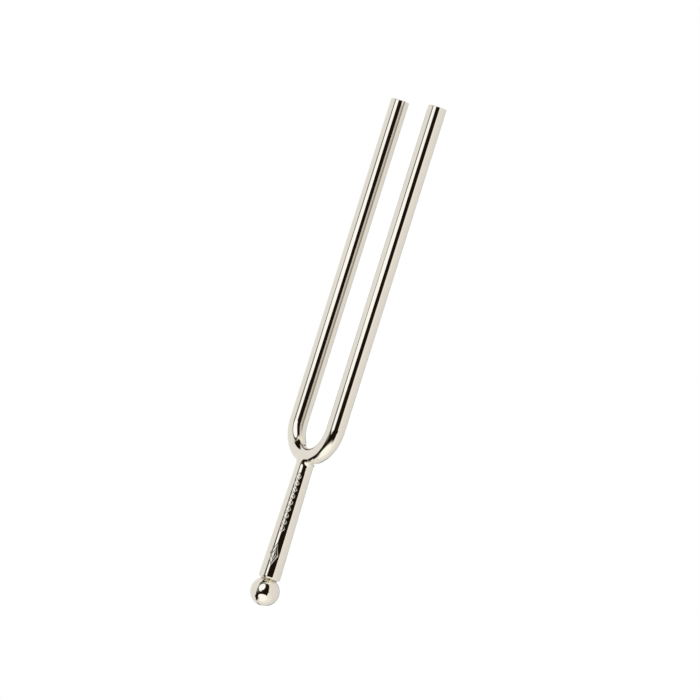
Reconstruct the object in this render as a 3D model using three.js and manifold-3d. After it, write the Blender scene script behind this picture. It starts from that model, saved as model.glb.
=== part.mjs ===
// A tuning fork: one round steel rod bent into a U, brazed on a tapered stem that ends in a ball.
// Millimetres, +Z up. The origin is the lowest point of the ball, +Z runs along the stem to the
// tine tips, and the two tines lie side by side along X.
import * as THREE from "three";
import { mergeVertices } from "three/addons/utils/BufferGeometryUtils.js";
import Module from "manifold-3d";

// ---- driving dimensions ----
const ROD_RADIUS = 2.0; // the bent rod, a 4 mm round bar
const BEND_RADIUS = 7.0; // from the bend's centre to the rod's centre line, half the tine spacing
const BEND_CENTRE_Z = 40.2; // height at which the bend ends and the straight tines begin
const FLEX_Z = 43.3; // a tine's effective root, about which it swings as it sounds
const FLEX_GAP = 0.1; // clearance between a tine and its root at that height
const TIP_Z = 112.3; // the flat tine ends
const TIP_CHAMFER = 0.22;

const BALL_RADIUS = 3.15;
const BALL_CENTRE_Z = BALL_RADIUS;

const STEM_BASE_Z = 5.93; // the flat shoulder, sunk a little over the ball
const STEM_BASE_RADIUS = 2.36;
const STEM_TOP_Z = BEND_CENTRE_Z - BEND_RADIUS - ROD_RADIUS; // the rod's underside
const STEM_TOP_RADIUS = 1.9;
const STEM_EDGE_ROUND = 0.6; // the shoulder's rounded edge
const EDGE_STEPS = 3; // flats that make up that round

const NECK_RADIUS = 1.63; // the turned spigot that joins the ball to the stem
const NECK_FOOT_Z = 3.7; // how deep it goes into the ball
const NECK_HEAD_Z = 8.7; // how high it goes into the stem
const PRESS_GAP = 0.05; // modelled clearance round the spigot and along the brazed seat

const COLLAR_BOTTOM_Z = 30.2; // where the braze runs out on the stem
const COLLAR_TOP_Z = 32.1;
const COLLAR_WALL = 0.25; // its least thickness, at its foot and across the rod
const COLLAR_SPREAD = 0.8; // how much further it stands out along the rod at its top
const COLLAR_RINGS = 6;

const SIDES = 24; // around every round section
const BEND_STEPS = 36;

// ---- materials ----
const nickel = () =>
  new THREE.MeshStandardMaterial({ color: 0xd8d2c6, roughness: 0.12, metalness: 1 });
const braze = () =>
  new THREE.MeshStandardMaterial({ color: 0xcfc2a2, roughness: 0.2, metalness: 1 });

// ---- shared shape tools ----
const wasm = await Module();
wasm.setup();

// A solid turned about Z from [radius, z] points, listed from the bottom up.
function turned(profile, sides = SIDES) {
  const points = profile.map(([radius, z]) => new THREE.Vector2(radius, z));
  return new THREE.LatheGeometry(points, sides).rotateX(Math.PI / 2);
}

// The closed surface as a manifold-3d solid, with its doubled vertices merged.
function toSolid(geometry) {
  const plain = geometry.clone();
  plain.deleteAttribute("normal");
  plain.deleteAttribute("uv");
  const merged = mergeVertices(plain, 1e-4);
  return new wasm.Manifold(
    new wasm.Mesh({
      numProp: 3,
      vertProperties: new Float32Array(merged.attributes.position.array),
      triVerts: new Uint32Array(merged.index.array),
    }),
  );
}

function toGeometry(solid) {
  const mesh = solid.getMesh();
  const geometry = new THREE.BufferGeometry();
  geometry.setAttribute("position", new THREE.BufferAttribute(mesh.vertProperties, 3));
  geometry.setIndex(new THREE.BufferAttribute(mesh.triVerts, 1));
  geometry.computeVertexNormals();
  return geometry;
}

// The first shape with the others taken out of it.
function cut(shape, ...tools) {
  const whole = toSolid(shape);
  return toGeometry(tools.reduce((left, tool) => left.subtract(toSolid(tool)), whole));
}

// The U-shaped centre line: down one short root, round the half circle and up the other root.
class BendCurve extends THREE.Curve {
  constructor(rootLength) {
    super();
    this.root = rootLength;
    this.arc = Math.PI * BEND_RADIUS;
  }

  getPoint(t, target = new THREE.Vector3()) {
    const along = t * (2 * this.root + this.arc);
    if (along <= this.root) {
      return target.set(-BEND_RADIUS, 0, BEND_CENTRE_Z + this.root - along);
    }
    if (along >= this.root + this.arc) {
      return target.set(BEND_RADIUS, 0, BEND_CENTRE_Z + along - this.root - this.arc);
    }
    const angle = (along - this.root) / BEND_RADIUS;
    const x = -BEND_RADIUS * Math.cos(angle);
    return target.set(x, 0, BEND_CENTRE_Z - BEND_RADIUS * Math.sin(angle));
  }
}

// The bent rod from one root to the other, with a round section of the given radius.
function bentRod(radius, rootLength) {
  const section = new THREE.Shape().absarc(0, 0, radius, 0, 2 * Math.PI);
  return new THREE.ExtrudeGeometry(section, {
    curveSegments: SIDES,
    steps: BEND_STEPS,
    extrudePath: new BendCurve(rootLength),
    bevelEnabled: false,
  });
}

// ---- the pieces ----
const rootLength = FLEX_Z - FLEX_GAP / 2 - BEND_CENTRE_Z;
const seatCutter = bentRod(ROD_RADIUS + PRESS_GAP, rootLength + 1);
const spigotCutter = turned([
  [0, NECK_FOOT_Z - PRESS_GAP],
  [NECK_RADIUS + PRESS_GAP, NECK_FOOT_Z - PRESS_GAP],
  [NECK_RADIUS + PRESS_GAP, NECK_HEAD_Z + PRESS_GAP],
  [0, NECK_HEAD_Z + PRESS_GAP],
]);

function stemRadiusAt(z) {
  const share = (z - STEM_BASE_Z) / (STEM_TOP_Z - STEM_BASE_Z);
  return THREE.MathUtils.lerp(STEM_BASE_RADIUS, STEM_TOP_RADIUS, share);
}

// A straight tine, a little chamfered at its flat end. It stands on its own length's base.
function tineShape() {
  const length = TIP_Z - FLEX_Z - FLEX_GAP / 2;
  return turned([
    [0, 0],
    [ROD_RADIUS, 0],
    [ROD_RADIUS, length - TIP_CHAMFER],
    [ROD_RADIUS - TIP_CHAMFER, length],
    [0, length],
  ]);
}

// The shoulder's rounded edge, from its flat underside up to the taper.
function shoulderEdge() {
  const points = [];
  for (let step = 0; step <= EDGE_STEPS; step += 1) {
    const angle = (step / EDGE_STEPS) * (Math.PI / 2);
    points.push([
      STEM_BASE_RADIUS - STEM_EDGE_ROUND * (1 - Math.sin(angle)),
      STEM_BASE_Z + STEM_EDGE_ROUND * (1 - Math.cos(angle)),
    ]);
  }
  return points;
}

// The tapered handle, with a saddle at the top where the rod sits and a bore for the spigot.
function stemShape() {
  const blankTop = STEM_TOP_Z + ROD_RADIUS;
  const blank = turned([
    [0, STEM_BASE_Z],
    ...shoulderEdge(),
    [STEM_TOP_RADIUS, STEM_TOP_Z],
    [STEM_TOP_RADIUS, blankTop],
    [0, blankTop],
  ]);
  return cut(blank, seatCutter, spigotCutter);
}

// The run of braze between the stem's top and the underside of the rod, hollow for both. It
// flares in a hollow curve along the rod, and stays thin across it.
function collarShape() {
  const foot = stemRadiusAt(COLLAR_BOTTOM_Z) + COLLAR_WALL;
  const profile = [[0, COLLAR_BOTTOM_Z]];
  for (let ring = 0; ring <= COLLAR_RINGS; ring += 1) {
    const share = ring / COLLAR_RINGS;
    const z = THREE.MathUtils.lerp(COLLAR_BOTTOM_Z, COLLAR_TOP_Z, share);
    const flare = COLLAR_SPREAD * (1 - Math.sqrt(1 - share * share));
    profile.push([foot + flare, z]);
  }
  profile.push([0, COLLAR_TOP_Z]);
  const blank = turned(profile);
  squeezeAcross(blank, foot);
  const boreTop = COLLAR_TOP_Z + 1;
  const bore = turned([
    [0, COLLAR_BOTTOM_Z - 1],
    [stemRadiusAt(COLLAR_BOTTOM_Z - 1) + PRESS_GAP, COLLAR_BOTTOM_Z - 1],
    [STEM_TOP_RADIUS + PRESS_GAP, STEM_TOP_Z],
    [STEM_TOP_RADIUS + PRESS_GAP, boreTop],
    [0, boreTop],
  ]);
  return cut(blank, bore, seatCutter);
}

// Narrows each ring of a turned shape along Y to the given half width, so the ring is oval.
function squeezeAcross(geometry, halfWidth) {
  const { position } = geometry.attributes;
  for (let i = 0; i < position.count; i += 1) {
    const radius = Math.hypot(position.getX(i), position.getY(i));
    const share = radius > halfWidth ? halfWidth / radius : 1;
    position.setY(i, position.getY(i) * share);
  }
}

function ballShape() {
  const ball = new THREE.SphereGeometry(BALL_RADIUS, SIDES, SIDES / 2).rotateX(Math.PI / 2);
  return cut(ball.translate(0, 0, BALL_CENTRE_Z), spigotCutter);
}

function spigotShape() {
  return turned([
    [0, NECK_FOOT_Z],
    [NECK_RADIUS, NECK_FOOT_Z],
    [NECK_RADIUS, NECK_HEAD_Z],
    [0, NECK_HEAD_Z],
  ]);
}

// ---- the fork ----
const fork = new THREE.Group();

function addPiece(name, geometry, material, x = 0, z = 0) {
  const piece = new THREE.Mesh(geometry, material);
  piece.name = name;
  piece.position.set(x, 0, z);
  fork.add(piece);
}

addPiece("ball_foot", ballShape(), nickel());
addPiece("neck_spigot", spigotShape(), braze());
addPiece("stem", stemShape(), nickel());
addPiece("braze_collar", collarShape(), braze());
addPiece("yoke", bentRod(ROD_RADIUS, rootLength), nickel());
addPiece("left_tine", tineShape(), nickel(), -BEND_RADIUS, FLEX_Z + FLEX_GAP / 2);
addPiece("right_tine", tineShape(), nickel(), BEND_RADIUS, FLEX_Z + FLEX_GAP / 2);

export default fork;
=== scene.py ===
"""Looks for the tuning fork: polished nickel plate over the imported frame, in a plain studio."""

import math

import bpy
import numpy as np
from mathutils import Matrix, Vector


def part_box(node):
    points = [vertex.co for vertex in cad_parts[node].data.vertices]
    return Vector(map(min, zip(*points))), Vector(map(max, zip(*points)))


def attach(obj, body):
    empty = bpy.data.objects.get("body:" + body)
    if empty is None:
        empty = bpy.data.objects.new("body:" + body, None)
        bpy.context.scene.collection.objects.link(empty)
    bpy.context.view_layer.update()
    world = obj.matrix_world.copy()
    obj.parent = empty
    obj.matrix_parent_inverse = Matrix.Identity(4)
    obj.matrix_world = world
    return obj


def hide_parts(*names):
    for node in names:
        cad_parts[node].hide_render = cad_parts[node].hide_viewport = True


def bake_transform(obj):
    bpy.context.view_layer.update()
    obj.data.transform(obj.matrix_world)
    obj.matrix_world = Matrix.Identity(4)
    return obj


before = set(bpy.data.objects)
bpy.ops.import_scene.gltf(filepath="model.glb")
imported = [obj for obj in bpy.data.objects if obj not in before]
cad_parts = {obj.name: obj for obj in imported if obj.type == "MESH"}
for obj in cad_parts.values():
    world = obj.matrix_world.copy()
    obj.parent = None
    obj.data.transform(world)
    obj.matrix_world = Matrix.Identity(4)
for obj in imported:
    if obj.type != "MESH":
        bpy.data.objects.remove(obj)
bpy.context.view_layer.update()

# ---- sizes, in millimetres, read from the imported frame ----
MM = 0.001


def node_box(node):
    """A node's lowest and highest corners in millimetres."""
    low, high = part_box(node)
    return np.array(low) / MM, np.array(high) / MM


tine_low, tine_high = node_box("right_tine")
yoke_low, yoke_high = node_box("yoke")
stem_low, stem_high = node_box("stem")
ball_low, ball_high = node_box("ball_foot")

ROD_RADIUS = (tine_high[0] - tine_low[0]) / 2
BEND_RADIUS = (tine_high[0] + tine_low[0]) / 2
BEND_CENTRE_Z = yoke_low[2] + ROD_RADIUS + BEND_RADIUS
FLEX_Z = (yoke_high[2] + tine_low[2]) / 2
TIP_Z = tine_high[2]
BALL_RADIUS = (ball_high[0] - ball_low[0]) / 2
BALL_CENTRE_Z = ball_low[2] + BALL_RADIUS
STEM_BASE_Z = stem_low[2]
STEM_BASE_RADIUS = stem_high[0]
STEM_TOP_Z = yoke_low[2]

# ---- sizes that the frame's boxes don't show, as in the CAD ----
STEM_TOP_RADIUS = 1.9
STEM_EDGE_ROUND = 0.6

# ---- sizes of the fine surface ----
STEM_SPLIT_Z = 30.0  # the stem's own mesh ends here, and the yoke's goes on from it
BRAZE_FILLET = 0.8
BEND_THINNING = 0.15  # off the rod's radius, all of it from the outside of the bend
THINNING_FALL = 1.5  # how fast that dies away from the bottom of the bend to its sides
TIP_ROUND = 0.13

# ---- the camera, in metres. The engraving, the braze and the studio are laid out from it ----
CAMERA_AZIMUTH = math.radians(54.8)
CAMERA_ELEVATION = math.radians(-2.6)
CAMERA_LEAN = math.radians(17.52)  # the fork leans to the right in the picture
CAMERA_DISTANCE = 1.155
CAMERA_SENSOR = 36  # millimetres
CAMERA_CLIP = (0.05, 50)
PICTURE_WIDTH = 0.14927  # what the picture is wide, at the fork
PICTURE_CENTRE_UP = 0.056
PICTURE_OFFSET = (0.00223, 0.00107)


def facing_angle(aside):
    """The angle about Z of a direction so many radians to the right of the camera's side."""
    return CAMERA_AZIMUTH - math.pi / 2 + aside


def look_direction(aside, up):
    """A direction from the fork: degrees to the right of the camera's, and degrees up."""
    bearing = CAMERA_AZIMUTH + math.radians(aside)
    rise = math.radians(up)
    flat = Vector((math.sin(bearing), -math.cos(bearing), 0))
    return flat * math.cos(rise) + Vector((0, 0, math.sin(rise)))


# ---- mesh making ----
SAME_PLACE = 1e-9  # points this close are one point


def add_mesh(name, points, faces, normals=None, flat=()):
    """A mesh piece from points in millimetres. Faces whose number is in flat keep their own
    normal, and all others are shaded with the normals given for their corners."""
    mesh = bpy.data.meshes.new(name)
    mesh.from_pydata((np.asarray(points) * MM).tolist(), [], [list(f) for f in faces])
    mesh.polygons.foreach_set("use_smooth", [True] * len(mesh.polygons))
    if normals is not None:
        given = np.asarray(normals)
        flat = set(flat)
        loop_normals = []
        for polygon in mesh.polygons:
            if polygon.index in flat:
                loop_normals += [tuple(polygon.normal)] * polygon.loop_total
            else:
                loop_normals += [tuple(given[v]) for v in polygon.vertices]
        mesh.normals_split_custom_set(loop_normals)
    mesh.update()
    piece = bpy.data.objects.new(name, mesh)
    bpy.context.scene.collection.objects.link(piece)
    return piece


def unit(vectors):
    return vectors / np.maximum(np.linalg.norm(vectors, axis=-1, keepdims=True), 1e-12)


def line(start, end, steps):
    """Profile points (radius, z, normal radius, normal z) along a straight stretch."""
    (r0, z0), (r1, z1) = start, end
    normal = unit(np.array([z1 - z0, r0 - r1]))
    shares = np.linspace(0, 1, steps + 1)
    return [(r0 + (r1 - r0) * t, z0 + (z1 - z0) * t, *normal) for t in shares]


def arc(centre, radius, first, last, steps):
    """Profile points along an arc, with angles in degrees from the radius axis towards +Z."""
    points = []
    for angle in np.radians(np.linspace(first, last, steps + 1)):
        c, s = math.cos(angle), math.sin(angle)
        points.append((centre[0] + radius * c, centre[1] + radius * s, c, s))
    return points


def distinct(profile):
    """The profile without the points that are in the same place as the one before."""
    kept = profile[:1]
    for point in profile[1:]:
        if math.dist(point[:2], kept[-1][:2]) > SAME_PLACE:
            kept.append(point)
    return kept


def ring_quads(rings, sides, closed=False):
    """Quads between neighbouring rings of points, and from the last ring to the first if closed."""
    faces = []
    for ring in range(rings if closed else rings - 1):
        above = (ring + 1) % rings
        for side in range(sides):
            after = (side + 1) % sides
            here, up = ring * sides, above * sides
            faces.append((here + side, here + after, up + after, up + side))
    return faces


def capped_rings(rings, sides):
    """The faces of a stack of rings with both ends closed, and the two end faces' numbers."""
    faces = ring_quads(rings, sides)
    first = list(range(sides))[::-1]
    last = [(rings - 1) * sides + side for side in range(sides)]
    return faces + [first, last], (len(faces), len(faces) + 1)


def turned(name, profile, sides=96, at=(0.0, 0.0)):
    """A closed piece turned about a vertical axis from a profile that runs from the bottom up."""
    rings = distinct(profile)
    points, normals = [], []
    for radius, z, normal_radius, normal_z in rings:
        for angle in np.linspace(0, 2 * math.pi, sides, endpoint=False):
            c, s = math.cos(angle), math.sin(angle)
            points.append((at[0] + radius * c, at[1] + radius * s, z))
            normals.append((normal_radius * c, normal_radius * s, normal_z))
    faces, flat = capped_rings(len(rings), sides)
    return add_mesh(name, points, faces, normals, flat)


# ---- the bent rod with its brazed seat on the stem ----
NET_CELL = 0.2  # the size of the quads
NET_MARGIN = 0.3  # room round the rod in the grid
NET_PULLS = 8  # how often each point is moved onto the surface


def stem_radius(z):
    share = (z - STEM_BASE_Z) / (STEM_TOP_Z - STEM_BASE_Z)
    return STEM_BASE_RADIUS + (STEM_TOP_RADIUS - STEM_BASE_RADIUS) * share


def fork_distance(points):
    """Signed distance to the bent rod joined to the stem's top by a hollow fillet. Bending has
    stretched the rod a little thinner round the outside, most at the bottom."""
    x, y, z = points[..., 0], points[..., 1], points[..., 2]
    fall = np.maximum(BEND_CENTRE_Z - z, 0)
    across = np.hypot(x, fall)
    thinned = BEND_THINNING * (fall / np.maximum(across, 1e-6)) ** THINNING_FALL
    rod = np.hypot(across - (BEND_RADIUS - thinned), y) - (ROD_RADIUS - thinned)
    side = np.hypot(x, y) - stem_radius(z)
    above = z - (STEM_TOP_Z + ROD_RADIUS)
    past_both = (side > 0) & (above > 0)
    stem = np.where(past_both, np.hypot(side, above), np.maximum(side, above))
    near_rod = np.maximum(BRAZE_FILLET - rod, 0)
    near_stem = np.maximum(BRAZE_FILLET - stem, 0)
    return np.maximum(BRAZE_FILLET, np.minimum(rod, stem)) - np.hypot(near_rod, near_stem)


def slope_of(points, step=1e-4):
    parts = []
    for axis in np.eye(3) * step:
        parts.append((fork_distance(points + axis) - fork_distance(points - axis)) / (2 * step))
    return np.stack(parts, axis=-1)


def net_surface(low, high, cell):
    """Quads over the surface fork_distance = 0 between two heights. One point goes in each
    cell that the surface crosses, and is moved onto it. The points of the first and last
    layers stay in the planes of those heights, so that both ends are cut flat."""
    counts = [max(2, round((h - l) / cell)) for l, h in zip(low, high)]
    steps = [(h - l) / n for l, h, n in zip(low, high, counts)]
    ticks = [l + s * (np.arange(n + 2) - 0.5) for l, s, n in zip(low, steps, counts)]
    grid = np.stack(np.meshgrid(*ticks, indexing="ij"), axis=-1)
    inside = fork_distance(grid) < 0
    # each of these arrays says of one corner of every cell whether it is inside
    corners = [
        inside[i : i - 1 or None, j : j - 1 or None, k : k - 1 or None]
        for i in (0, 1)
        for j in (0, 1)
        for k in (0, 1)
    ]
    full = np.sum(corners, axis=0)
    crossed = (full > 0) & (full < len(corners))
    number = np.full(crossed.shape, -1)
    number[crossed] = np.arange(crossed.sum())
    cells = np.argwhere(crossed)
    points = np.stack([ticks[a][cells[:, a]] + steps[a] / 2 for a in range(3)], axis=-1)
    at_end = (cells[:, 2] == 0) | (cells[:, 2] == crossed.shape[2] - 1)
    for _ in range(NET_PULLS):
        slope = slope_of(points)
        slope[at_end, 2] = 0
        pull = fork_distance(points) / np.maximum((slope**2).sum(-1), 1e-9)
        points = points - pull[:, None] * slope
    faces = []
    for axis in range(3):
        faces += crossing_quads(inside, number, axis)
    return points, faces


def crossing_quads(inside, number, axis):
    """One quad round every grid line along this axis that goes through the surface."""
    here = np.moveaxis(inside, axis, 0)
    cells = np.moveaxis(number, axis, 0)
    changed = here[:-1] != here[1:]
    changed[:, [0, -1], :] = False
    changed[:, :, [0, -1]] = False
    if axis == 2:  # no quad lies in the planes of the two ends
        changed[[0, -1]] = False
    flip = axis == 1  # bringing the middle axis to the front mirrors the grid
    quads = []
    for a, b, c in np.argwhere(changed):
        quad = [cells[a, b - 1, c - 1], cells[a, b, c - 1], cells[a, b, c], cells[a, b - 1, c]]
        if min(quad) >= 0:
            outward = bool(here[a, b, c]) != flip
            quads.append(quad if outward else quad[::-1])
    return quads


def open_edges(faces):
    """Each edge that has a face on only one side, in that face's own direction."""
    seen = {}
    for face in faces:
        for a, b in zip(face, [*face[1:], face[0]]):
            if (b, a) in seen:
                del seen[(b, a)]
            else:
                seen[(a, b)] = True
    return list(seen)


def make_yoke():
    """The bend with its two roots, and the braze and the top of the stem in one skin with it.
    Each of its three cut ends is closed by a fan of flat triangles round the end's centre."""
    reach = BEND_RADIUS + ROD_RADIUS
    half_depth = reach / 3  # well clear of the rod's front and back
    low = (-reach - NET_MARGIN, -half_depth, STEM_SPLIT_Z)
    high = (reach + NET_MARGIN, half_depth, FLEX_Z)
    points, faces = net_surface(low, high, NET_CELL)
    normals = unit(slope_of(points))
    centres = [(-BEND_RADIUS, 0, FLEX_Z), (BEND_RADIUS, 0, FLEX_Z), (0, 0, STEM_SPLIT_Z)]
    first_centre = len(points)
    points = np.vstack([points, centres])
    normals = np.vstack([normals, [(0, 0, 1), (0, 0, 1), (0, 0, -1)]])
    flat = []
    for a, b in open_edges(faces):
        gaps = [np.linalg.norm(points[a] - centre) for centre in centres]
        flat.append(len(faces))
        faces.append([b, a, first_centre + int(np.argmin(gaps))])
    return add_mesh("yoke_rod", points, faces, normals, flat)


# ---- tines ----
TINE_RINGS = 76
TIP_ROUND_RINGS = 8


def make_tine(side, sign):
    rounding_z = TIP_Z - TIP_ROUND
    flat_radius = ROD_RADIUS - TIP_ROUND
    profile = line((ROD_RADIUS, FLEX_Z), (ROD_RADIUS, rounding_z), TINE_RINGS)
    profile += arc((flat_radius, rounding_z), TIP_ROUND, 0, 90, TIP_ROUND_RINGS)
    return turned(f"{side}_tine_rod", profile, at=(sign * BEND_RADIUS, 0.0))


# ---- ball and neck ----
BALL_SIDES = 128
BALL_RINGS = 72
BALL_LOWEST = -89.5  # degrees: a tiny flat face closes the ball's foot
BALL_HIGHEST = 62  # degrees: the ball is cut off here, inside the braze

NECK_SIDES = 192
NECK_STEPS = 12
NECK_RUN = 1.72  # how far the braze stands out from the axis, on average
NECK_FLARE = 0.07  # how much further its two edges reach
NECK_WAVES = [(2, 0.045, 0.6), (5, 0.03, 2.1)]  # turns round the neck, height and phase
NECK_RIPPLES = [(9, 0.018, 0.0), (17, 0.012, 1.0)]
NECK_RIPPLE_BULGE = 1.5  # how much more the ripples show between the edges
NECK_DRIP_REACH = 0.62  # how much further it ran down over the ball at one place
NECK_DRIP_SIDE = 0.04  # that place, in radians to the right of the camera's side
NECK_DRIP_WIDTH = 0.28  # radians
NECK_DRIP_BULGE = 0.14
NECK_SINK = 0.03  # how deep its two edges are sunk
NECK_INNER = 1.2  # the radius of its unseen inside
NECK_TUCK = 0.25  # how much further up and down the inside goes


def make_ball():
    profile = arc((0.0, BALL_CENTRE_Z), BALL_RADIUS, BALL_LOWEST, BALL_HIGHEST, BALL_RINGS)
    return turned("ball", profile, sides=BALL_SIDES)


def ball_height(radius):
    return BALL_CENTRE_Z + math.sqrt(BALL_RADIUS**2 - radius**2)


def shoulder_height(radius):
    beyond = max(radius - (STEM_BASE_RADIUS - STEM_EDGE_ROUND), 0.0)
    return STEM_BASE_Z + STEM_EDGE_ROUND - math.sqrt(STEM_EDGE_ROUND**2 - beyond**2)


def sum_of_waves(waves, angle):
    return sum(height * math.sin(turns * angle + phase) for turns, height, phase in waves)


def neck_section(angle):
    """Points (radius, z) of the braze in the groove between the ball and the stem's shoulder."""
    ripple = sum_of_waves(NECK_RIPPLES, angle)
    away = math.remainder(angle - facing_angle(NECK_DRIP_SIDE), 2 * math.pi)
    drip = math.exp(-((away / NECK_DRIP_WIDTH) ** 2))
    edge = NECK_RUN + NECK_FLARE + sum_of_waves(NECK_WAVES, angle) + ripple
    low_radius = edge + NECK_DRIP_REACH * drip
    low = np.array([low_radius, ball_height(low_radius)])
    high = np.array([edge, shoulder_height(edge)])
    outward = unit(np.array([high[1] - low[1], low[0] - high[0]]))
    bulge = -NECK_FLARE + NECK_DRIP_BULGE * drip + NECK_RIPPLE_BULGE * ripple
    points = [(NECK_INNER, low[1] - NECK_TUCK), tuple(low - NECK_SINK * outward)]
    for share in np.linspace(0, 1, NECK_STEPS + 1):
        rise = bulge * 4 * share * (1 - share)  # the whole bulge halfway, and none at the edges
        points.append(tuple(low + (high - low) * share + outward * rise))
    points += [tuple(high - NECK_SINK * outward), (NECK_INNER, high[1] + NECK_TUCK)]
    return points


def make_neck():
    sections = []
    for angle in np.linspace(0, 2 * math.pi, NECK_SIDES, endpoint=False):
        c, s = math.cos(angle), math.sin(angle)
        sections.append([(r * c, r * s, z) for r, z in neck_section(angle)])
    rings = len(sections[0])
    points = [section[ring] for ring in range(rings) for section in sections]
    return add_mesh("neck_braze", points, ring_quads(rings, NECK_SIDES, closed=True))


# ---- stem, with its engraved band ----
CUT_HALF_WIDTH = 0.1
CUT_DEPTH = 0.045
CHAIN_LOW_Z, CHAIN_HIGH_Z = 16.4, 29.45
CHAIN_PITCH = 1.45
CHAIN_HALF_WIDTH = 0.46
CHAIN_DOT_RADIUS = 0.04
LOZENGE_Z = 11.3
LOZENGE_HALF_WIDTH, LOZENGE_HALF_HEIGHT = 0.95, 2.3
LOZENGE_SIZES = (1.0, 0.5)
BAND_SIDE = -0.25  # the band's middle, in radians to the right of the camera's side
BAND_HALF_ANGLE = 0.55
BAND_COLUMNS = 60
PLAIN_COLUMNS = 60
FAR_TURN = 9.0  # radians from the band that are too far for any cut to reach
UNDERSIDE_INNER = 0.6  # the radius of the face that closes the stem's underside
UNDERSIDE_RINGS = 6
EDGE_RINGS = 16
TAPER_RINGS = 500


def chain_distance(aside, z):
    """Distance to two crossing waves, with a punched dot in each eye of the chain."""
    turn = math.pi / CHAIN_PITCH
    phase = (z - CHAIN_LOW_Z) * turn
    lean = np.sqrt(1 + (CHAIN_HALF_WIDTH * turn * np.cos(phase)) ** 2)
    wave = CHAIN_HALF_WIDTH * np.sin(phase)
    waves = np.minimum(np.abs(aside - wave), np.abs(aside + wave)) / lean
    from_eye = np.mod(z - CHAIN_LOW_Z, CHAIN_PITCH) - CHAIN_PITCH / 2
    dots = np.maximum(np.hypot(aside, from_eye) - CHAIN_DOT_RADIUS, 0)
    beyond = np.maximum(np.maximum(CHAIN_LOW_Z - z, z - CHAIN_HIGH_Z), 0)
    return np.hypot(np.minimum(waves, dots), beyond)


def lozenge_distance(aside, z):
    """Distance to two lozenge outlines, one in the other."""
    nearest = np.full(np.shape(aside), np.inf)
    for size in LOZENGE_SIZES:
        wide, tall = LOZENGE_HALF_WIDTH * size, LOZENGE_HALF_HEIGHT * size
        level = np.abs(aside) / wide + np.abs(z - LOZENGE_Z) / tall - 1
        nearest = np.minimum(nearest, np.abs(level) / math.hypot(1 / wide, 1 / tall))
    return nearest


def cut_depth(aside, z):
    """Depth of the engraving at a distance along the girth from the band's middle line."""
    nearest = np.minimum(chain_distance(aside, z), lozenge_distance(aside, z))
    return CUT_DEPTH * np.maximum(1 - (nearest / CUT_HALF_WIDTH) ** 2, 0) ** 2


def stem_profile():
    inner = STEM_BASE_RADIUS - STEM_EDGE_ROUND
    profile = line((UNDERSIDE_INNER, STEM_BASE_Z), (inner, STEM_BASE_Z), UNDERSIDE_RINGS)
    edge_centre = (inner, STEM_BASE_Z + STEM_EDGE_ROUND)
    profile += arc(edge_centre, STEM_EDGE_ROUND, -90, -1, EDGE_RINGS)
    end = (stem_radius(STEM_SPLIT_Z), STEM_SPLIT_Z)
    profile += line(profile[-1][:2], end, TAPER_RINGS)
    return profile


def stem_columns():
    """How far each column of points is turned from the band's middle. They are close together
    over the engraved band, and wide apart elsewhere."""
    band_end = 2 * math.pi - BAND_HALF_ANGLE
    fine = np.linspace(-BAND_HALF_ANGLE, BAND_HALF_ANGLE, BAND_COLUMNS, endpoint=False)
    plain = np.linspace(BAND_HALF_ANGLE, band_end, PLAIN_COLUMNS, endpoint=False)
    return np.concatenate([fine, plain])


def make_stem():
    """The engraving is cut in the mesh, and the normals are those of the cut surface. A point
    attribute holds the depth of the cut, for the plate's colour."""
    rings = np.array(distinct(stem_profile()))
    radius, z, normal_r, normal_z = (rings[:, k : k + 1] for k in range(4))
    turns = stem_columns()
    least_radius = STEM_BASE_RADIUS - STEM_EDGE_ROUND
    aside = np.where(turns < BAND_HALF_ANGLE, turns, FAR_TURN) * np.maximum(radius, least_radius)
    depth = cut_depth(aside, z)
    step = 1e-3
    slope_aside = (cut_depth(aside + step, z) - cut_depth(aside - step, z)) / (2 * step)
    slope_z = (cut_depth(aside, z + step) - cut_depth(aside, z - step)) / (2 * step)
    angle = facing_angle(BAND_SIDE) + turns[None, :]
    c, s = np.cos(angle), np.sin(angle)
    out = radius - depth
    points = np.stack([out * c, out * s, z + 0 * out], axis=-1)
    normal_x = normal_r * c - slope_aside * s
    normal_y = normal_r * s + slope_aside * c
    normals = unit(np.stack([normal_x, normal_y, normal_z + slope_z], axis=-1))
    faces, flat = capped_rings(len(rings), len(turns))
    stem = add_mesh("stem_handle", points.reshape(-1, 3), faces, normals.reshape(-1, 3), flat)
    cut = stem.data.attributes.new("cut", "FLOAT", "POINT")
    cut.data.foreach_set("value", (depth / CUT_DEPTH).ravel().astype(np.float32))
    return stem


# ---- shader building ----
def add_node(tree, kind, inputs=(), output=0, **settings):
    """Adds a shader node and returns one of its outputs, given by number or by name. An input
    is a value, another node's output to link to, or None to leave it alone."""
    node = tree.nodes.new("ShaderNode" + kind)
    for name, value in settings.items():
        setattr(node, name, value)
    for socket, value in zip(node.inputs, inputs):
        if isinstance(value, bpy.types.NodeSocket):
            tree.links.new(value, socket)
        elif value is not None:
            socket.default_value = value
    return node.outputs[output]


def maths(tree, operation, *inputs):
    return add_node(tree, "Math", inputs, operation=operation)


def along(tree, vector, direction):
    """How far a vector reaches along a direction."""
    inputs = (vector, list(direction))
    return add_node(tree, "VectorMath", inputs, "Value", operation="DOT_PRODUCT")


def parts_of(tree, vector):
    """The x, y and z of a vector."""
    node = tree.nodes.new("ShaderNodeSeparateXYZ")
    tree.links.new(vector, node.inputs[0])
    return list(node.outputs)


def from_to(tree, value, start, end, first, last):
    """Goes evenly from first to last as the value goes from start to end."""
    return add_node(tree, "MapRange", (value, start, end, first, last))


def ease(tree, value, start, end):
    """Rises smoothly from 0 to 1 as the value goes from start to end."""
    inputs = (value, start, end, 0.0, 1.0)
    return add_node(tree, "MapRange", inputs, interpolation_type="SMOOTHSTEP")


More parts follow.
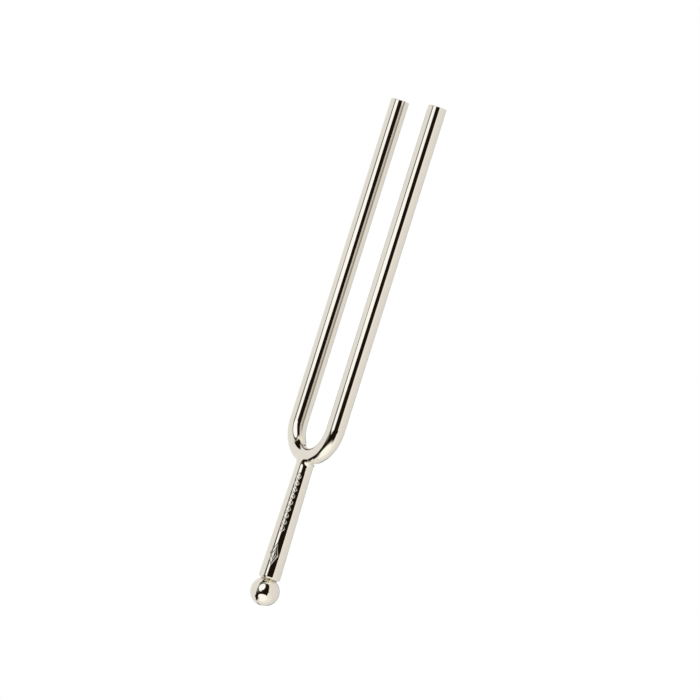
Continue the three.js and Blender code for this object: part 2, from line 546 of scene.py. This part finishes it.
def blend_colours(tree, share, first, second):
    first, second = (
        c if isinstance(c, bpy.types.NodeSocket) else (*c, 1) for c in (first, second)
    )
    return add_node(tree, "MixRGB", (share, first, second))


def object_place(tree, scale=(1.0, 1.0, 1.0)):
    """The place on the piece in millimetres, stretched by a scale along each axis."""
    place = add_node(tree, "TexCoord", output="Object")
    return add_node(tree, "VectorMath", (place, [k / MM for k in scale]), operation="MULTIPLY")


def noise(tree, place, scale, detail=2.0):
    return add_node(tree, "TexNoise", (place, None, scale, detail))


def shader_tree(name):
    material = bpy.data.materials.new(name)
    material.use_nodes = True
    tree = material.node_tree
    tree.nodes.clear()
    return material, tree


def show(tree, surface, kind="OutputMaterial"):
    """Ends a tree: what it shows is this surface."""
    output = tree.nodes.new("ShaderNode" + kind)
    tree.links.new(surface, output.inputs["Surface"])


def finish_metal(tree, colour, roughness, height):
    """The metal's own shader. The height is in metres."""
    bump = add_node(tree, "Bump", (1.0, 1.0, None, height))
    shader = tree.nodes.new("ShaderNodeBsdfPrincipled")
    shader.inputs["Metallic"].default_value = 1
    tree.links.new(colour, shader.inputs["Base Color"])
    tree.links.new(roughness, shader.inputs["Roughness"])
    tree.links.new(bump, shader.inputs["Normal"])
    show(tree, shader.outputs["BSDF"])


# ---- materials ----
# Patterns' scales are per millimetre and bump heights are metres. A FADE goes from 0 to 1
# between its two values.
NICKEL_PALE = (0.815, 0.785, 0.735)
NICKEL_WARM = (0.785, 0.75, 0.69)
NICKEL_DUSKY = (0.42, 0.37, 0.29)
# painted reflection: the brown of the shaded gap between the tines, seen in the left tine
GAP_REFLECTION_BROWN = (0.27, 0.24, 0.195)
CLOUD_SCALE, CLOUD_HEIGHT = 0.3, 4e-6
GRAIN_SCALE, GRAIN_HEIGHT = 6.0, 1.5e-7
HAIRLINE_STRETCH = (9.0, 9.0, 0.35)
HAIRLINE_FADE = (0.45, 0.8)  # the noise at which a polishing mark begins and is full
PLATE_ROUGHNESS = (0.025, 0.075)
CUT_DUSKY_FADE = (0.55, 1.0)  # the share of a cut's depth
CUT_DULL_FADE = (0.2, 1.0)
CUT_DULLNESS = 0.12

# A painted reflection: a brown streak along the inside of the left tine, where it faces the shaded
# gap between the tines, in millimetres.
STREAK_Y = -0.21  # its middle
STREAK_EDGE_FADE = (0.31, 0.05)  # distance from its middle
STREAK_INWARD_FADE = (0.5, 0.9)  # distance from the tine's middle towards the other tine
STREAK_LEFT_FADE = (-3.0, -4.0)  # x, which keeps it off the right tine
STREAK_FOOT_FADE = (-3.5, -0.5)  # height over the bend's centre

# The flat ends of the tines.
FACED_CLOUD_SCALE = 0.9
FACED_ROUGHNESS = (0.1, 0.2)
FACING_PITCH = 0.13  # millimetres between the rings that facing leaves
FACING_WAVER, FACING_WAVER_SCALE = 0.12, 1.2
FACING_HEIGHT = 8e-7

# The braze in the neck.
BRASS_YELLOW = (0.88, 0.80, 0.57)
# the brown of the braze's lumps away from the front of the drip
BRASS_BROWN = (0.44, 0.33, 0.23)
# painted shade: the dull grey of the braze's side to the right of the camera
BRASS_SHADED_GREY = (0.41, 0.40, 0.35)
BROWN_FADE = (1.85, 1.45)  # millimetres from the axis towards the drip
SHADED_GREY_FADE = (0.5, 1.1)  # millimetres from the axis to the right
LUMP_SCALE, LUMP_HEIGHT = 1.1, 6e-5
LUMP_BROWN_FADE = (0.36, 0.66)
BRAZE_GRAIN_SCALE = 5.0
BRAZE_GRAIN_SPAN = (0.3, 0.7)
BRAZE_ROUGHNESS = (0.12, 0.34)


def painted_reflection_streak(tree):
    """1 along the inside of the left tine, where a brown streak is painted as a reflection of the
    shaded gap between the tines, and 0 elsewhere.
    """
    x, y, z = parts_of(tree, object_place(tree))
    beside = maths(tree, "ABSOLUTE", maths(tree, "SUBTRACT", y, STREAK_Y))
    inward = maths(tree, "ADD", x, BEND_RADIUS)
    above = maths(tree, "SUBTRACT", z, BEND_CENTRE_Z)
    share = ease(tree, beside, *STREAK_EDGE_FADE)
    limits = [(inward, STREAK_INWARD_FADE), (x, STREAK_LEFT_FADE), (above, STREAK_FOOT_FADE)]
    for value, fade in limits:
        share = maths(tree, "MULTIPLY", share, ease(tree, value, *fade))
    return share


def plated_metal(name, cuts=False, streak=False):
    """Polished nickel plate: broad, faint clouds of tone, hairline polishing marks along the
    rod, and the soft unevenness of plating. Cuts hold a little darkened, duller plate. A
    streak is a painted reflection, brown where the left tine faces the shaded gap between the
    tines."""
    material, tree = shader_tree(name)
    clouds = noise(tree, object_place(tree), CLOUD_SCALE)
    hairlines = noise(tree, object_place(tree, HAIRLINE_STRETCH), 1.0, 4.0)
    grain = noise(tree, object_place(tree), GRAIN_SCALE, 3.0)
    colour = blend_colours(tree, clouds, NICKEL_PALE, NICKEL_WARM)
    marks = ease(tree, hairlines, *HAIRLINE_FADE)
    roughness = from_to(tree, marks, 0.0, 1.0, *PLATE_ROUGHNESS)
    if streak:
        # painted reflection: brown along the left tine's inside, where it faces the shaded gap
        # between the tines
        colour = blend_colours(tree, painted_reflection_streak(tree), colour, GAP_REFLECTION_BROWN)
    if cuts:
        cut = add_node(tree, "Attribute", output="Fac", attribute_name="cut")
        dusky = ease(tree, cut, *CUT_DUSKY_FADE)
        colour = blend_colours(tree, dusky, colour, NICKEL_DUSKY)
        dull = maths(tree, "MULTIPLY", ease(tree, cut, *CUT_DULL_FADE), CUT_DULLNESS)
        roughness = maths(tree, "ADD", roughness, dull)
    broad = maths(tree, "MULTIPLY", clouds, CLOUD_HEIGHT)
    fine = maths(tree, "MULTIPLY", grain, GRAIN_HEIGHT)
    finish_metal(tree, colour, roughness, maths(tree, "ADD", broad, fine))
    return material


def end_metal(name):
    """A tine's end: faced flat, with the rings that facing leaves."""
    material, tree = shader_tree(name)
    x, y, _ = parts_of(tree, object_place(tree))
    across = maths(tree, "SUBTRACT", maths(tree, "ABSOLUTE", x), BEND_RADIUS)
    squares = [maths(tree, "POWER", part, 2.0) for part in (across, y)]
    radius = maths(tree, "SQRT", maths(tree, "ADD", *squares))
    wander = noise(tree, object_place(tree), FACING_WAVER_SCALE)
    waver = maths(tree, "MULTIPLY", wander, FACING_WAVER)
    wavered = maths(tree, "ADD", radius, waver)
    rings = maths(tree, "SINE", maths(tree, "MULTIPLY", wavered, 2 * math.pi / FACING_PITCH))
    clouds = noise(tree, object_place(tree), FACED_CLOUD_SCALE)
    colour = blend_colours(tree, clouds, NICKEL_PALE, NICKEL_WARM)
    roughness = from_to(tree, rings, -1.0, 1.0, *FACED_ROUGHNESS)
    finish_metal(tree, colour, roughness, maths(tree, "MULTIPLY", rings, FACING_HEIGHT))
    return material


def braze_metal(name):
    """Bare brass braze: lumpy, yellow at the front of the drip and brown on its lumps elsewhere.
    Round to the right of the camera's side a dull grey is painted in as shade."""
    material, tree = shader_tree(name)
    lumps = noise(tree, object_place(tree), LUMP_SCALE, 3.0)
    grain = noise(tree, object_place(tree), BRAZE_GRAIN_SCALE, 4.0)
    drip_side = look_direction(math.degrees(NECK_DRIP_SIDE), 0)
    towards_drip = along(tree, object_place(tree), drip_side)
    rightwards = along(tree, object_place(tree), look_direction(90, 0))
    # brown on the lumps, except at the front of the drip
    off_drip = ease(tree, towards_drip, *BROWN_FADE)
    brown_share = maths(tree, "MULTIPLY", ease(tree, lumps, *LUMP_BROWN_FADE), off_drip)
    colour = blend_colours(tree, brown_share, BRASS_YELLOW, BRASS_BROWN)
    # painted shade: dull grey on the braze's side to the right of the camera
    colour = blend_colours(tree, ease(tree, rightwards, *SHADED_GREY_FADE), colour, BRASS_SHADED_GREY)
    roughness = from_to(tree, grain, *BRAZE_GRAIN_SPAN, *BRAZE_ROUGHNESS)
    finish_metal(tree, colour, roughness, maths(tree, "MULTIPLY", lumps, LUMP_HEIGHT))
    return material


# ---- camera ----
def camera_axes():
    """The picture's right and up directions, and the direction back to the camera."""
    a, e = CAMERA_AZIMUTH, CAMERA_ELEVATION
    back = Vector((math.sin(a) * math.cos(e), -math.cos(a) * math.cos(e), math.sin(e)))
    level = Vector((math.cos(a), math.sin(a), 0))
    upright = back.cross(level)
    right = level * math.cos(CAMERA_LEAN) + upright * math.sin(CAMERA_LEAN)
    up = upright * math.cos(CAMERA_LEAN) - level * math.sin(CAMERA_LEAN)
    return right, up, back


def make_camera():
    right, up, back = camera_axes()
    data = bpy.data.cameras.new("camera")
    data.sensor_width = CAMERA_SENSOR
    data.lens = data.sensor_width * CAMERA_DISTANCE / PICTURE_WIDTH
    data.clip_start, data.clip_end = CAMERA_CLIP
    camera = bpy.data.objects.new("camera", data)
    bpy.context.scene.collection.objects.link(camera)
    to_right, upwards = PICTURE_OFFSET
    target = Vector((0, 0, PICTURE_CENTRE_UP)) + right * to_right + up * upwards
    place = target + back * CAMERA_DISTANCE
    turn = Matrix((right, up, back)).transposed().to_4x4()
    camera.matrix_world = Matrix.Translation(place) @ turn
    bpy.context.scene.camera = camera


# ---- studio: soft panels a long way off, painted by direction ----
BLACK_FLAG = (0.013, 0.008, 0.004)
WINDOW_LIGHT = (1.23, 1.23, 1.21)
WARM_LIGHT = (1.21, 1.21, 1.11)
LEFT_WALL = (0.93, 0.915, 0.875)
RIGHT_WALL = (0.92, 0.89, 0.83)
FAR_WALL = (0.85, 0.845, 0.805)
BACK_WALL = (0.81, 0.81, 0.79)
CEILING = (1.14, 1.09, 0.85)
TABLE_LIGHT = (1.06, 1.04, 0.98)

# Where each wall fades in, as cosines of the angle from the camera's side, from straight up
# or from the table's middle.
FAR_WALL_FADE = (0.3, -0.6)
BACK_WALL_FADE = (-0.42, -0.87)
CEILING_FADE = (0.9, 0.995)
TABLE_FADE = (0.3, 1.0)
TABLE_MIDDLE = (10, -55)

# The big round reflector on the left, in degrees, and its dark rim, which fades out low down
# and at the back.
REFLECTOR_CENTRE = (-125, 4)
REFLECTOR_RADIUS, RIM_RADIUS, REFLECTOR_SOFT = 58.5, 67, 1.5
RIM_LOW_FADE = (-0.86, -0.7)
RIM_BACK_FADE = (-0.95, -0.8)
RIM_STRENGTH = 0.85

# The panels, in degrees.
REFLECTOR_GAPS = [
    dict(aside=-104, up=60, half_width=19, half_height=30, corner=3, soft=4),
    dict(aside=-62, up=-45, half_width=29, half_height=20, turn=15, corner=3, soft=4),
]
REFLECTOR_FLAGS = [
    dict(aside=-98, up=45, half_width=16, half_height=20, corner=3, soft=4),
    dict(aside=-96, up=-51, half_width=18, half_height=12, turn=22, corner=3, soft=4),
    dict(aside=-60, up=-24, half_width=7, half_height=13, corner=3, soft=4),
]
FLAG_GLOW = dict(aside=38, up=-8, half_width=9, half_height=45, turn=5, soft=6)
FLAG_GLOW_STRENGTH = 0.6
FRONT_FLAG = dict(aside=-15, up=10, half_width=43, half_height=55, turn=6, corner=6)
WINDOW = dict(aside=-34.7, up=25, half_width=22.7, half_height=32, turn=-6, corner=2)
LOW_LIGHT = dict(aside=-2, up=-59, half_width=28, half_height=25, turn=28, corner=2.5, soft=9)
BACK_WINDOW = dict(aside=176, up=0, half_width=9, half_height=30, corner=5)
BACK_FLAG = dict(aside=161, up=-4, half_width=6, half_height=26, corner=6)


def disc(tree, look, centre, radius, soft):
    """1 inside a round patch of the surroundings and 0 outside it. All sizes are degrees."""
    away = maths(tree, "ARCCOSINE", along(tree, look, look_direction(*centre)))
    return ease(tree, away, math.radians(radius + soft), math.radians(radius - soft))


def panel(tree, look, aside, up, half_width, half_height, turn=0.0, corner=4.0, soft=3.0):
    """1 inside a panel in the surroundings and 0 outside it. All sizes are degrees, and its
    outline goes from a lozenge to a square as corner grows from 1."""
    centre = look_direction(aside, up)
    right = look_direction(aside + 90, 0)
    axes = (centre, right, centre.cross(right))
    ahead, across, above = (along(tree, look, axis) for axis in axes)
    x = maths(tree, "ARCTAN2", across, ahead)
    y = maths(tree, "ARCSINE", above)
    c, s = math.cos(math.radians(turn)), math.sin(math.radians(turn))
    wide, tall = math.radians(half_width), math.radians(half_height)
    shares = []
    for from_x, from_y, size in ((c, s, wide), (-s, c, tall)):
        part_x = maths(tree, "MULTIPLY", x, from_x / size)
        part_y = maths(tree, "MULTIPLY", y, from_y / size)
        share = maths(tree, "ABSOLUTE", maths(tree, "ADD", part_x, part_y))
        shares.append(maths(tree, "POWER", share, corner))
    reach = maths(tree, "POWER", maths(tree, "ADD", *shares), 1 / corner)
    edge = soft / min(half_width, half_height)
    return ease(tree, reach, 1 + edge, 1 - edge)


def reflector_rim(tree, look, facing, height):
    """The dark rim's share, given how far each direction faces the camera's side and up."""
    rim = disc(tree, look, REFLECTOR_CENTRE, RIM_RADIUS, REFLECTOR_SOFT)
    for value, fade in ((height, RIM_LOW_FADE), (facing, RIM_BACK_FADE)):
        rim = maths(tree, "MULTIPLY", rim, ease(tree, value, *fade))
    return rim


def surroundings(tree, look):
    """The studio's colour in each direction, painted in layers from the walls forward."""

    def paint(share, colour, strength=1.0):
        nonlocal seen
        if strength != 1.0:
            share = maths(tree, "MULTIPLY", share, strength)
        seen = blend_colours(tree, share, seen, colour)

    facing = along(tree, look, look_direction(0, 0))
    height = along(tree, look, (0, 0, 1))
    table = along(tree, look, look_direction(*TABLE_MIDDLE))
    seen = blend_colours(tree, ease(tree, facing, *FAR_WALL_FADE), RIGHT_WALL, FAR_WALL)
    paint(ease(tree, facing, *BACK_WALL_FADE), BACK_WALL)
    paint(ease(tree, height, *CEILING_FADE), CEILING)
    paint(ease(tree, table, *TABLE_FADE), TABLE_LIGHT)
    # the reflector, with dark gaps beside it and black flags in front of it
    paint(reflector_rim(tree, look, facing, height), BLACK_FLAG, RIM_STRENGTH)
    for gap in REFLECTOR_GAPS:
        paint(panel(tree, look, **gap), BLACK_FLAG)
    paint(disc(tree, look, REFLECTOR_CENTRE, REFLECTOR_RADIUS, REFLECTOR_SOFT), LEFT_WALL)
    for flag in REFLECTOR_FLAGS:
        paint(panel(tree, look, **flag), BLACK_FLAG)
    # the black flag in front with a glow along its right edge, and the window and the low
    # warm light that stand before it
    paint(panel(tree, look, **FLAG_GLOW), TABLE_LIGHT, FLAG_GLOW_STRENGTH)
    paint(panel(tree, look, **FRONT_FLAG), BLACK_FLAG)
    paint(panel(tree, look, **WINDOW), WINDOW_LIGHT)
    paint(panel(tree, look, **LOW_LIGHT), WARM_LIGHT)
    # behind the fork, a flag and a window that only the far side shows
    paint(panel(tree, look, **BACK_WINDOW), WINDOW_LIGHT)
    paint(panel(tree, look, **BACK_FLAG), BLACK_FLAG)
    return seen


def make_world():
    """The camera sees plain white. Everything else is lit by, and reflects, the studio."""
    world = bpy.data.worlds.new("studio")
    bpy.context.scene.world = world
    world.use_nodes = True
    tree = world.node_tree
    tree.nodes.clear()
    look = add_node(tree, "TexCoord", output="Generated")
    around = add_node(tree, "Background", (surroundings(tree, look), 1.0))
    seen = add_node(tree, "Background", ((1, 1, 1, 1), 1.0))
    to_camera = add_node(tree, "LightPath", output="Is Camera Ray")
    show(tree, add_node(tree, "MixShader", (to_camera, around, seen)), "OutputWorld")


# Cards round the fork, which only reflections see: the distance in mm, the colour, and the
# corners as degrees to the right of the camera's direction and heights in mm.
CARDS = {
    # low in front, the flag's edges are wider for the stem and the ball
    "low_flag": (
        300,
        BLACK_FLAG,
        [(-33, 8), (31, 8), (35, 24), (34, 47), (-18, 47), (-30, 22)],
    ),
    "low_side_flag": (300, BLACK_FLAG, [(-57, 8), (-49, 8), (-51, 47), (-57, 47)]),
    # the window is widest halfway up the tines
    "tine_window": (
        300,
        WINDOW_LIGHT,
        [(-52, 60), (-57, 78), (-58, 96), (-52, 120), (-19, 124)]
        + [(-14.5, 110), (-13, 96), (-14.5, 76), (-18, 60)],
    ),
    # the near edge of the bright table, which the ball sees higher than the bend does
    "table_edge": (
        100,
        WARM_LIGHT,
        [(-54, -100), (-42, -55), (-24, -43), (-6, -38), (12, -39), (24, -46)]
        + [(32, -62), (32, -120), (-45, -120)],
    ),
    # close to the ball, the left wall's colour keeps two far dark gaps off the ball alone
    "upper_wall": (
        30,
        LEFT_WALL,
        [(-130, 12), (-74, 12), (-77, 26), (-82, 38), (-88, 50), (-130, 50)],
    ),
    "lower_wall": (30, LEFT_WALL, [(-140, -36), (-98, -36), (-88, -16), (-140, -16)]),
}


def make_card(name, distance, colour, corners):
    """A card in front of the studio's walls, light or dark, that lights nothing."""
    points = []
    for aside, height in corners:
        level = look_direction(aside, 0) * distance
        points.append((level.x, level.y, height))
    card = add_mesh(name, points, [range(len(points))])
    material, tree = shader_tree(f"{name}_glow")
    show(tree, add_node(tree, "Emission", ((*colour, 1), 1.0)))
    card.data.materials.append(material)
    card.visible_camera = False
    card.visible_diffuse = False
    card.visible_shadow = False


FLOOR_REACH = 4000  # millimetres from the fork to its sides
FLOOR_Z = -700
FLOOR_LOOK = {
    "Base Color": (0.9, 0.9, 0.89, 1),
    "Roughness": 0.9,
    "Emission Color": (1, 1, 1, 1),
    "Emission Strength": 0.25,
}


def make_floor():
    r = FLOOR_REACH
    corners = [(-r, -r), (r, -r), (r, r), (-r, r)]
    floor = add_mesh("floor", [(x, y, FLOOR_Z) for x, y in corners], [(0, 1, 2, 3)])
    material, tree = shader_tree("pale_floor")
    shader = tree.nodes.new("ShaderNodeBsdfPrincipled")
    for name, value in FLOOR_LOOK.items():
        shader.inputs[name].default_value = value
    show(tree, shader.outputs["BSDF"])
    floor.data.materials.append(material)
    floor.visible_glossy = False


def make_studio():
    bpy.context.scene.view_settings.view_transform = "Standard"
    make_world()
    for name, (distance, colour, corners) in CARDS.items():
        make_card(name, distance, colour, corners)
    make_floor()


# ---- the fork ----
def dress(piece, body, slot, material, *nodes):
    """Gives a piece its material and its body, and hides the CAD nodes that it stands for. The slot
    is not used.
    """
    piece.data.materials.append(material)
    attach(piece, body)
    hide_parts(*nodes)


rod_nickel = plated_metal("nickel_rod", streak=True)
stem_nickel = plated_metal("nickel_stem", cuts=True)
ball_nickel = plated_metal("nickel_ball")
end_nickel = end_metal("nickel_end")
neck_brass = braze_metal("neck_braze")

make_camera()
make_studio()
dress(make_yoke(), "fork_body", "plated_rod", rod_nickel, "yoke", "braze_collar")
dress(make_stem(), "fork_body", "plated_stem", stem_nickel, "stem")
dress(make_neck(), "fork_body", "neck_braze", neck_brass, "neck_spigot")
dress(make_ball(), "fork_body", "plated_ball", ball_nickel, "ball_foot")
for side, sign in (("left", -1), ("right", 1)):
    tine = make_tine(side, sign)
    tine.data.materials.append(rod_nickel)
    tine.data.materials.append(end_nickel)
    tine.data.polygons[-1].material_index = 1  # the flat end
    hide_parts(f"{side}_tine")
    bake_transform(tine)
